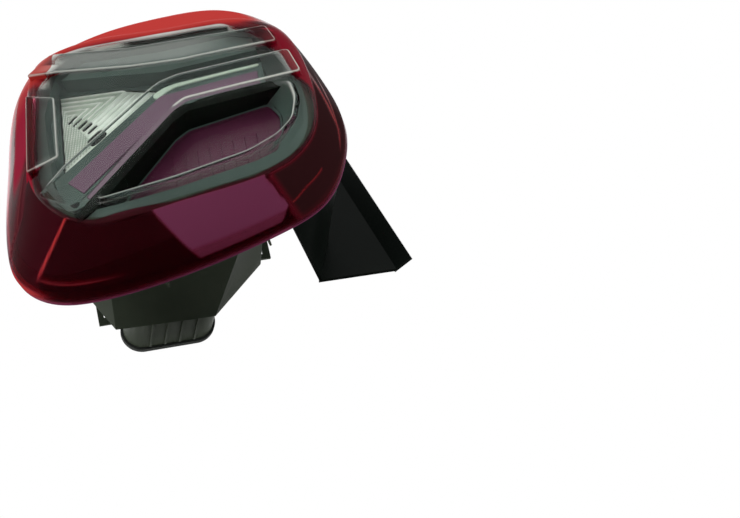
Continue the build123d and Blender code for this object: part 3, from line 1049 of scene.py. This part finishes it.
LENS = Lens(
    rim=[
        (-147, -36), (-140, -66), (-117, -89), (-74, -99), (-12, -97), (59, -85), (93, -71), (112, -42),
        (119, -12), (112, 34), (64, 128), (37, 147), (-6, 157), (-84, 152), (-128, 120), (-144, 44),
    ],
    face=[
        (-104, -30), (-95, -46), (-80, -62), (-58, -72), (-4, -74), (54, -73), (83, -66), (101, -48),
        (107, -22), (105, 18), (87, 65), (57, 83), (4, 93), (-62, 104), (-98, 93), (-107, 50),
    ],
    shot_line=[
        (-80, -60), (-70, -66.5), (-58, -70.5), (-4, -73), (54, -72), (69, -69.5), (82, -65), (92.5, -57.5),
        (100, -47.5), (104.2, -35), (105.5, -22), (104, -7), (97, -1), (91, 23), (82, 36), (75, 51),
        (52, 72.5), (2, 81.5), (-58, 91), (-80, 90), (-80, 76), (-92, 66), (-98, 52), (-98, -24), (-94, -44),
    ],
    pocket_mouth=[
        (-56, -57), (1, -57), (56, -53), (77, -46), (89, -36), (94, -18), (92, -2), (18, 4), (8, -1),
    ],
    pocket_bed=[
        (-44, -50), (1, -51), (52, -47), (66, -41), (74, -29), (76, -12), (70, 1), (10, -1), (1, -6),
    ],
    backed_zone=[
        (3.66, 1.05), (3.94, 0.53), (4.14, 0.08), (5.08, 0.08), (5.36, 0.32), (5.30, 0.76), (5.26, 1.05),
    ],
    # Each streak paints a line of light into the red walls
    streaks=[
        # Bright crease up the lower left corner
        Streak([(1.3, -0.893), (2.1, 1.964)], 0.1786, (1.3, 1.31, 2.09, 2.1), 1.0, (0.1, 0.4)),
        # Fine line along the lower wall
        Streak([(1.5, 0.24), (3.6, 0.24)], 0.012, (1.5, 1.8, 2.6, 3.6), 0.7),
        # Slanting line on the left end
        Streak([(-0.4, 0.956), (0.4, -0.004)], 0.02, (-0.4, -0.399, 0.399, 0.4), 0.6),
        # Bent line beyond the backed zone
        Streak(
            [(5.4, 0.33), (5.5, 0.3404), (5.6, 0.3652), (5.7, 0.3948), (5.8, 0.4196), (5.9, 0.43)],
            0.014, (5.45, 5.451, 6.449, 6.45), 0.8,
        ),
        # Two rising lines on the right side
        Streak([(7.5, 0.1285), (9.0, 1.093)], 0.06, (7.5, 8.0, 8.5, 9.0), 0.75),
        Streak([(7.1, 0.1148), (9.0, 0.6468)], 0.03, (7.1, 7.5, 8.5, 9.0), 0.75),
    ],
    # A painted shadow across the left end
    shadow=Streak([(-0.6, 1.236), (0.4, 0.036)], 0.14, (-0.6, -0.599, 0.399, 0.4), 0.8),
    steps=[
        Step(
            "lens_upper_bar",
            [(-101.5, 74.5), (-75, 69), (-20, 53), (18, 45), (53, 41), (90, 36), (84, 54), (65, 57), (27, 64),
             (-19, 72), (-81.5, 90)],
            59.0, (3.0, 56.0), frost=0.2,
        ),
        Step(
            "lens_bent_bar",
            [(-70, -65), (6, 1), (17, 6.5), (58, 4), (103, 0.5), (97, 24.5), (62, 28), (14, 32), (0, 30),
             (-8, 26), (-76, -22), (-97, -43)],
            59.0, (8.0, 15.0), shine=1.0,
            no_highlight_zone=[(-106, -44), (-72, -74), (9, -4), (3, 8), (-70, -54), (-94, -34)],
        ),
        Step(
            "lens_end_block",
            [(-105, -18), (-81, -12), (-81, 46), (-103, 56)], 58.0, (-92.0, 18.0),
            [(-117, -26), (-81, -18), (-81, 52), (-116, 62)], 30.0, 2.0,
        ),
    ],
)


# Turn tray: coated reflector with V ribs and dimples


@dataclass
class TurnTray:
    """Silver tray under the clear plate: a floor with nested V ribs, two dimpled fields, slots and a cut-out.

    The grain is the direction of its diagonal. Slots and the cut-out have half lengths and half widths.
    """

    low_line: Points
    high_line: Points
    floor: float = 26.4
    thickness: float = 1.9
    gap_depth: float = 1.0
    rib: float = 1.2
    rib_pitch: float = 4.2
    fold: float = 33.0
    dimple: float = 1.0
    dimple_pitch: float = 3.0
    rows: int = 165
    columns: int = 235
    slot_start: Place = (-79, 48)
    slot_step: Place = (3.75, -3.75)
    slot_count: int = 5
    slot_half: Place = (4.6, 1.2)
    cut_out: Place = (-61, 23)
    cut_half: Place = (7.5, 5.0)
    grain: Place = (0.816, 0.578)
    # Vacuum-coated aluminium on plastic: soft silver, with painted highlights on the crests and painted shade
    # in the slots
    finish: BrightMetal = BrightMetal(
        "vacuum_coated_aluminium_tray", "#B6C0B6", "#FFFFFF", 0.34, 12.0, 0.2, relief=True
    )

    def turned(self, across: Array, up: Array) -> tuple[Array, Array]:
        """Distances along the diagonal and to its left."""
        return across * self.grain[0] + up * self.grain[1], up * self.grain[0] - across * self.grain[1]

    def relief(self, across: Array, up: Array, below_top: Array) -> tuple[Array, Array]:
        """Height of the ribs and dimples, and the painted light and shade on them.

        The rib phase is the smaller distance from the top edge and from a fold along the diagonal, so its
        level lines are nested Vs, and a triangle wave of it is the rib. The dimples are the product of two
        cosines, inside their fields.

        Args:
            across: First coordinates.
            up: Second coordinates.
            below_top: Distance below the top edge.

        Returns:
            Heights in millimetres and painted brightness, in the same shape.
        """
        along, aside = self.turned(across, up)
        from_low = aside - self.turned(*self.low_line[0])[1]
        phase = np.minimum(below_top, from_low - self.fold) / self.rib_pitch
        in_fold = ramp(from_low, self.fold - 1, self.fold + 1)
        line = ramp(np.abs(2 * (phase % 1) - 1), 0.45, 0.95)
        ribs = self.rib * line * (0.25 + 0.75 * in_fold)
        turn = 2 * math.pi / self.dimple_pitch
        wave = np.cos(turn * along) * np.cos(turn * aside)
        # One dimpled field lies along the low edge, 12 mm wide, and one at the left
        low_field = ramp(-from_low, -12, -10.5)
        left_field = ramp(-across - 0.5 * up, 54, 57) * ramp(from_low, 12, 14)
        dimpled = np.maximum(low_field, left_field)
        # Painted light and shade: above the fold the ribs are highlight lines on a grey of painted shade,
        # below it faint darker lines on silver, and the dimples are bright and dark by their wave
        crest = np.where(in_fold > 0.5, 0.2 + 1.7 * line, 1.3 - 0.4 * line)
        crest = crest * (1 - dimpled) + (0.9 + 1.6 * wave) * dimpled
        return ribs * (1 - dimpled) + self.dimple * wave * dimpled, crest

    def gaps(self, across: Array, up: Array) -> Array:
        """Where the slots and the cut-out are: stretched ovals along the diagonal, with a soft edge.

        Args:
            across: First coordinates.
            up: Second coordinates.

        Returns:
            One inside a gap and zero outside, in the same shape.
        """
        start, step = np.array(self.slot_start), np.array(self.slot_step)
        ovals = [(start + number * step, self.slot_half) for number in range(self.slot_count)]
        inside = []
        for centre, half in [*ovals, (self.cut_out, self.cut_half)]:
            along, aside = self.turned(across - centre[0], up - centre[1])
            inside.append(ramp(-((along / half[0]) ** 4 + (aside / half[1]) ** 4), -1.25, -0.9))
        return np.max(inside, axis=0)

    def build(self) -> list[Piece]:
        """Build the tray as a relief over straight columns from the low line to the high line.

        A flat underside and a skirt round the edge close it.

        Returns:
            The tray.
        """
        low, high = np.array(self.low_line, float), np.array(self.high_line, float)
        line = np.linspace(low[0, 0], low[-1, 0], self.columns)
        bottom, top = (np.interp(line, edge[:, 0], edge[:, 1]) for edge in (low, high))
        up = bottom + (top - bottom) * np.linspace(0, 1, self.rows)[:, None]
        across = np.broadcast_to(line, up.shape)
        relief, crest = self.relief(across, up, (top - up) * 0.95)
        gap = self.gaps(across, up)
        upper = self.floor + relief * (1 - gap) - self.gap_depth * gap
        height = np.stack([upper, np.full(up.shape, self.floor - self.thickness)])
        faces = grid_faces(self.rows, self.columns)
        number = np.arange(up.size).reshape(up.shape)
        ring = np.concatenate([number[0], number[1:, -1], number[-1, -2::-1], number[-2:0:-1, 0]])
        beside = np.roll(ring, -1)
        skirt = np.stack([ring, ring + up.size, beside + up.size, beside], axis=1)
        faces = np.concatenate([faces, faces[:, ::-1] + up.size, skirt])
        piece = new_object("turn_tray", PLANE.place(across, up, height), faces)
        set_attributes(piece, gap=np.stack([gap, 0 * gap]), crest=np.stack([crest, 0 * crest]))
        return [self.finish.dress(piece, "reflector_coat", "turn_reflector")]


TRAY = TurnTray([(-87, -16), (-8, 40)], [(-87, 72), (-38, 62), (-8, 48)])


# Inner trim: collar of the bezel, pale light strip and tail of the blade


@dataclass(frozen=True)
class Collar:
    """Bent sheet that closes the bezel to the red walls, behind glass."""

    skirt_low: float = 0.06
    skirt_high: float = 0.9
    skirt_rows: int = 10
    skirt_gap: float = 0.8
    inner: float = 7.5
    top: float = 42.4
    sheet: float = 1.2
    # Polished ABS: dark slate with hardly any shine, the ground that the red walls are seen against
    finish: MouldedPlastic = MouldedPlastic(
        "polished_slate_abs", "#2F3A33", "#3F4C44", 0.4, Surface.POLISHED, 0.8, gloss=0.06
    )

    def build(self) -> list[Piece]:
        """Build the collar as rows carried round the lens.

        From a share of the way up it follows the inside of the red walls at a small gap, and at the top it
        turns inwards to the bezel. The same rows at the sheet's depth close it.

        Returns:
            The collar.
        """
        share = np.linspace(self.skirt_low, self.skirt_high, self.skirt_rows)
        places, heights = [], []
        for depth in (0.0, self.sheet):
            curves = (LENS.rim_curve, LENS.face_curve)
            rim, face = (inset(curve, LENS.wall + self.skirt_gap + depth) for curve in curves)
            skirt = rim + (face - rim) * (share**LENS.wall_bow)[:, None, None]
            places.append(np.concatenate([skirt, inset(LENS.face_curve, self.inner)[None]]))
            heights.append(np.append(LENS.face_height * share, self.top) - depth)
        place = np.concatenate([places[0], places[1][::-1]])
        height = np.concatenate([heights[0], heights[1][::-1]])[:, None]
        faces = grid_faces(len(place), LENS.columns, True, True)
        piece = new_object("bezel_collar", PLANE.place(place[..., 0], place[..., 1], height), faces)
        return [self.finish.dress(piece, "grey_bezel", "bezel")]


@dataclass(frozen=True)
class Bar:
    """Rounded bar under the clear plate, carried along a path and closed at both ends."""

    name: str
    slot: str
    node: str
    path: Points
    halves: list[float]
    low: float
    high: float
    finish: MouldedPlastic
    sections: int = 80
    ring: int = 24
    roundness: float = 0.5

    def build(self) -> list[Piece]:
        """Build the bar as sections along its path.

        The section is a superellipse, as wide as the half widths say and as high as the two heights, drawn in
        over the last sections by a quarter circle.

        Returns:
            The bar.
        """
        path = np.array(self.path, float)
        run = np.concatenate([[0.0], np.cumsum(np.linalg.norm(np.diff(path, axis=0), axis=1))])
        where = np.linspace(0, run[-1], self.sections)
        centre = np.stack([np.interp(where, run, path[:, axis]) for axis in (0, 1)], axis=1)
        left = left_of(np.gradient(centre, axis=0))
        half = np.interp(where, run, self.halves)
        near_end = np.clip(np.minimum(where, run[-1] - where) / half, 0, 1)
        wide = half * np.sqrt(np.clip(1 - (1 - near_end) ** 2, 0.01, 1))
        turn = np.linspace(0, 2 * math.pi, self.ring, endpoint=False)
        side, rise = (np.sign(part) * np.abs(part) ** self.roundness for part in (np.cos(turn), np.sin(turn)))
        place = centre[:, None] + left[:, None] * (wide[:, None] * side)[..., None]
        middle, tall = (self.low + self.high) / 2, (self.high - self.low) / 2
        rings = PLANE.place(place[..., 0], place[..., 1], middle + tall * rise)
        ends = (PLANE.place(*centre[at], middle) for at in (0, -1))
        return [self.finish.dress(closed_object(self.name, rings, *ends), self.slot, self.node)]


# Polished black ABS: swallows the light, with the faintest change of tone
BLACK_ABS = MouldedPlastic(
    "gloss_black_abs", "#0A0C0B", "#181D1A", 0.25, Surface.POLISHED, 2.0, 70.0, gloss=0.02
)

# Opal acrylic: pale and even, as if it were lit from inside
OPAL_ACRYLIC = MouldedPlastic(
    "opal_acrylic", "#B4C0B6", "#CAD4CA", 0.3, Surface.POLISHED, 1.2, gloss=0.1
)

BARS = [
    Bar(
        "accent_light", "pale_strip", "accent_strip",
        [(-9, 27), (0, 31.5), (8, 33.2), (27, 32.2), (50, 30.8), (72, 29.2)],
        [3.4, 2.6, 1.8, 1.4, 1.3, 1.2], 43.6, 45.2, OPAL_ACRYLIC,
    ),
    Bar(
        "blade_tail", "gloss_black", "blade_trim",
        [(-50, -42), (-64, -53.5), (-75, -61)], [4.5, 5.2, 4.2], 41.6, 46.2, BLACK_ABS,
    ),
]


# Studs: threaded fixings at the back


@dataclass(frozen=True)
class Stud:
    """Stud with a rolled thread and a flange, along the lamp's forward axis."""

    name: str
    up: float
    reach: float = 25.0
    tail: float = -20.9
    flange_back: float = -7.0
    flange_front: float = -5.0
    radius: float = 3.0
    flange_radius: float = 5.5
    end_radius: float = 0.5
    pitch: float = 1.0
    depth: float = 0.55
    chamfer: float = 0.8
    ring_step: float = 0.1
    columns: int = 48
    # Zinc-plated steel: pale grey metal, with soft clouds in its shine
    finish: BrightMetal = BrightMetal("zinc_plated_steel", "#9CA4A0", "#C6CCC8", 0.3, 3.0)

    def build(self) -> list[Piece]:
        """Build the stud as rings along its axis.

        On the shank the radius falls from the crest by a triangle wave of the place along the axis less the
        share of the turn, which makes one start of thread. Elsewhere it is a plain profile.

        Returns:
            The stud.
        """
        shank = np.arange(self.flange_front, self.reach - self.chamfer, self.ring_step)
        foot = [
            (self.tail, self.end_radius), (self.tail, self.radius), (self.flange_back, self.radius),
            (self.flange_back, self.flange_radius), (self.flange_front, self.flange_radius),
            (self.flange_front, self.radius),
        ]
        tip = [(self.reach, self.radius - self.chamfer), (self.reach, self.end_radius)]
        profile = np.concatenate([foot, np.stack([shank, np.full(len(shank), self.radius)], axis=1), tip])
        along, plain = profile[:, :1], profile[:, 1:]
        threaded = ramp(shank, self.flange_front + 1, self.flange_front + 3)
        threaded = np.concatenate([np.zeros(len(foot)), threaded, np.zeros(len(tip))])[:, None]
        turn = np.linspace(0, 2 * math.pi, self.columns, endpoint=False)
        phase = (along / self.pitch - turn / (2 * math.pi)) % 1
        groove = np.clip(1.2 * np.abs(2 * phase - 1) - 0.12, 0, 1)
        reach = plain - self.depth * groove * threaded
        rings = [reach * np.sin(turn), np.broadcast_to(along, reach.shape), self.up + reach * np.cos(turn)]
        ends = [(0.0, self.tail, self.up), (0.0, self.reach, self.up)]
        piece = closed_object(self.name + "_thread", np.stack(rings, axis=-1), *ends)
        return [self.finish.dress(piece, "zinc_steel", self.name)]


STUDS = [Stud("stud_lower", -75.0), Stud("stud_upper", 75.0)]


# Carried parts: copies of the solids with soft edges


@dataclass(frozen=True)
class Carried:
    """Solid of the frame that is shown as it is, with its edges rounded by a small bevel."""

    node: str
    slot: str
    finish: Finish
    edge_mm: float = 0.4
    sharp_turn: float = 32.0
    flat_turn: float = 0.6
    weld: float = 2e-6

    def build(self) -> list[Piece]:
        """Copy the solid's mesh, join its triangles, shade it smooth between sharp edges and round those.

        Returns:
            The copy, which stands for the solid.
        """
        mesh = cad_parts[self.node].data.copy()
        work = bmesh.new()
        work.from_mesh(mesh)
        bmesh.ops.remove_doubles(work, verts=work.verts, dist=self.weld)
        bmesh.ops.dissolve_limit(
            work, angle_limit=math.radians(self.flat_turn), verts=work.verts, edges=work.edges
        )
        work.to_mesh(mesh)
        work.free()
        smooth(mesh, self.sharp_turn)
        piece = linked(self.node + "_finished", mesh)
        bevel = piece.modifiers.new("soft_edges", "BEVEL")
        bevel.width = self.edge_mm * MM
        bevel.segments = 2
        bevel.limit_method = "ANGLE"
        bevel.angle_limit = math.radians(self.sharp_turn)
        bevel.harden_normals = True
        return [self.finish.dress(piece, self.slot, self.node)]


# Polished grey ABS: slate that lightens in broad clouds, with little shine behind the plate
GREY_ABS = MouldedPlastic(
    "polished_grey_abs", "#2C3735", "#62716F", 0.34, Surface.POLISHED, 0.8, 90.0, gloss=0.06
)

# Frosted acrylic: dull mauve with a milky, even look
MAUVE_ACRYLIC = MouldedPlastic(
    "frosted_mauve_acrylic", "#6A4C62", "#785A70", 0.3, Surface.POLISHED, 1.6, gloss=0.08
)

# Tinted moulded acrylic: wine red, smooth, a little brighter on its ribs
FILTER_ACRYLIC = MouldedPlastic(
    "moulded_red_filter_acrylic", "#56243E", "#68324E", 0.2, Surface.POLISHED, 2.0, gloss=0.1
)

# Spark-eroded polypropylene: dull olive black, with a grain that breaks up its shine
HOUSING_PLASTIC = MouldedPlastic(
    "spark_eroded_polypropylene", "#3C4339", "#4E5548", 0.5, Surface.SPARK_ERODED, 0.8, gloss=0.03
)

# Satin ABS: near black and smooth, with a soft broad shine
PANEL_ABS = MouldedPlastic("satin_black_abs", "#090C0A", "#111613", 0.36, Surface.SATIN, 0.7, gloss=0.03)

# Vacuum-coated aluminium: close to a mirror, faintly clouded
MIRROR_COAT = BrightMetal("vacuum_coated_aluminium", "#C4C8C6", "#E6E9E6", 0.1)

# Zinc-plated steel: brighter than the studs, and clouded more finely
ZINC_SCREWS = BrightMetal("zinc_plated_screws", "#A8B0AC", "#D2D8D2", 0.3, 2.0)

# Closed-cell foam: matt charcoal, pitted by its cells
FOAM = CellFoam("closed_cell_foam", "#1A1D1B", "#343835")

CARRIED = [
    Carried("bezel", "grey_bezel", GREY_ABS),
    Carried("light_guide", "guide_acrylic", MAUVE_ACRYLIC),
    Carried("blade_trim", "gloss_black", BLACK_ABS),
    Carried("pocket_filter", "filter_acrylic", FILTER_ACRYLIC),
    Carried("housing", "housing_black", HOUSING_PLASTIC),
    Carried("bulb_reflector", "bulb_coat", MIRROR_COAT),
    Carried("gasket_lower", "foam", FOAM),
    Carried("gasket_upper", "foam", FOAM),
    Carried("gutter_panel", "panel_black", PANEL_ABS, 0.5, 14.0),
    Carried("flange_screws", "zinc_steel", ZINC_SCREWS),
]


# Studio: floor, light and camera


@dataclass(frozen=True)
class Studio:
    """Plain pale room: a floor under the lamp, soft light and a camera at the photograph's angle."""

    eye: Triple = (-153.4, -1072.0, -433.0)
    right: Triple = (0.953, -0.193, -0.235)
    up: Triple = (0.149, -0.377, 0.914)
    back: Triple = (-0.265, -0.906, -0.330)
    focal_pixels: float = 1355.25
    picture_width: float = 740
    sensor: float = 36.0
    clip_end: float = 50.0
    floor_half: float = 0.9
    floor_fade: float = 0.3
    floor_drop: float = 0.004
    floor_colour: str = "#F0F0EE"
    floor_roughness: float = 0.8
    sky: float = 0.55
    aim: Triple = (0.0, -0.13, 0.0)

    def camera(self) -> None:
        """Place the camera by its three axes, with the focal length from pixels to sensor millimetres."""
        data = bpy.data.cameras.new("camera")
        data.sensor_width = self.sensor
        data.lens = self.focal_pixels * self.sensor / self.picture_width
        data.clip_end = self.clip_end
        camera = linked("camera", data)
        columns = [Vector(axis).normalized() for axis in (self.right, self.up, self.back)]
        turn = Matrix(columns).transposed().to_quaternion().to_matrix().to_4x4()
        camera.matrix_world = Matrix.Translation(Vector(self.eye) * MM) @ turn
        bpy.context.scene.camera = camera

    def floor(self) -> None:
        """Lay a pale floor just under the lamp, which fades at its edge and isn't seen from below."""
        height = CAD_BOX[0].z - self.floor_drop
        corners = np.array([[-1, -1], [1, -1], [1, 1], [-1, 1]]) * self.floor_half
        mesh = bpy.data.meshes.new("floor")
        mesh.from_pydata([(x, y, height) for x, y in corners], [], [(0, 1, 2, 3)])
        linked("floor", mesh)
        # Matt paint: pale and even, so that only the lamp's own shadow shows on it
        made = bpy.data.materials.new("pale_matt_paint")
        made.use_nodes = True
        tree = made.node_tree
        shader = tree.nodes["Principled BSDF"]
        feed(tree, shader, {"Base Color": linear(self.floor_colour), "Roughness": self.floor_roughness})
        place = add_node(tree, "TexCoord", "Object")
        far = add_node(tree, "VectorMath", "Value", {0: place}, operation="LENGTH")
        reach = {"Value": far, "From Min": self.floor_fade, "From Max": self.floor_half}
        fade = add_node(tree, "MapRange", "Result", reach, interpolation_type="SMOOTHSTEP")
        below = add_node(tree, "NewGeometry", "Backfacing")
        hidden = add_node(tree, "Math", "Value", {0: below, 1: fade}, operation="MAXIMUM")
        clear = add_node(tree, "BsdfTransparent", "BSDF")
        both = add_node(tree, "MixShader", "Shader", {0: hidden, 1: shader.outputs["BSDF"], 2: clear})
        feed(tree, tree.nodes["Material Output"], {"Surface": both})
        mesh.materials.append(made)

    def world(self) -> None:
        """Fill the room with even light, white where the eye, a gloss or a clear piece shows it."""
        world = bpy.data.worlds.new("studio")
        bpy.context.scene.world = world
        world.use_nodes = True
        tree = world.node_tree
        white = add_node(tree, "LightPath", "Is Camera Ray")
        for ray in ("Is Glossy Ray", "Is Transmission Ray"):
            other = add_node(tree, "LightPath", ray)
            white = add_node(tree, "Math", "Value", {0: white, 1: other}, operation="MAXIMUM")
        level = add_node(tree, "MapRange", "Result", {"Value": white, "To Min": self.sky, "To Max": 1.0})
        feed(tree, tree.nodes["Background"], {"Color": (1, 1, 1, 1), "Strength": level})

    def lamp(self, name: str, place: Triple, size: float, power: float) -> None:
        """Hang one square soft light that faces the lamp.

        Args:
            name: Name of the light.
            place: Where it hangs, in metres.
            size: Side of the square, in metres.
            power: Power in watts.
        """
        data = bpy.data.lights.new(name, "AREA")
        data.size = size
        data.energy = power
        light = linked(name, data)
        light.location = place
        light.rotation_euler = (Vector(self.aim) - Vector(place)).to_track_quat("-Z", "Y").to_euler()

    def build(self) -> None:
        """Set up the room."""
        bpy.context.scene.view_settings.view_transform = "Standard"
        self.camera()
        self.floor()
        self.world()
        self.lamp("key_light", (-0.9, -0.9, 1.3), 2.8, 24)
        self.lamp("fill_light", (1.2, -0.9, 0.7), 2.0, 6)
        self.lamp("back_light", (0.3, 1.3, 0.9), 2.0, 10)


def main() -> None:
    """Build the lamp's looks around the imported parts, then the room."""
    logging.basicConfig(level=logging.INFO, format="%(message)s")
    for part in (LENS, TRAY, Collar(), *BARS, *STUDS, *CARRIED):
        for piece in part.build():
            LOG.info("%s: %d faces", piece.name, len(piece.data.polygons))
    Studio().build()


if __name__ == "__main__":
    main()
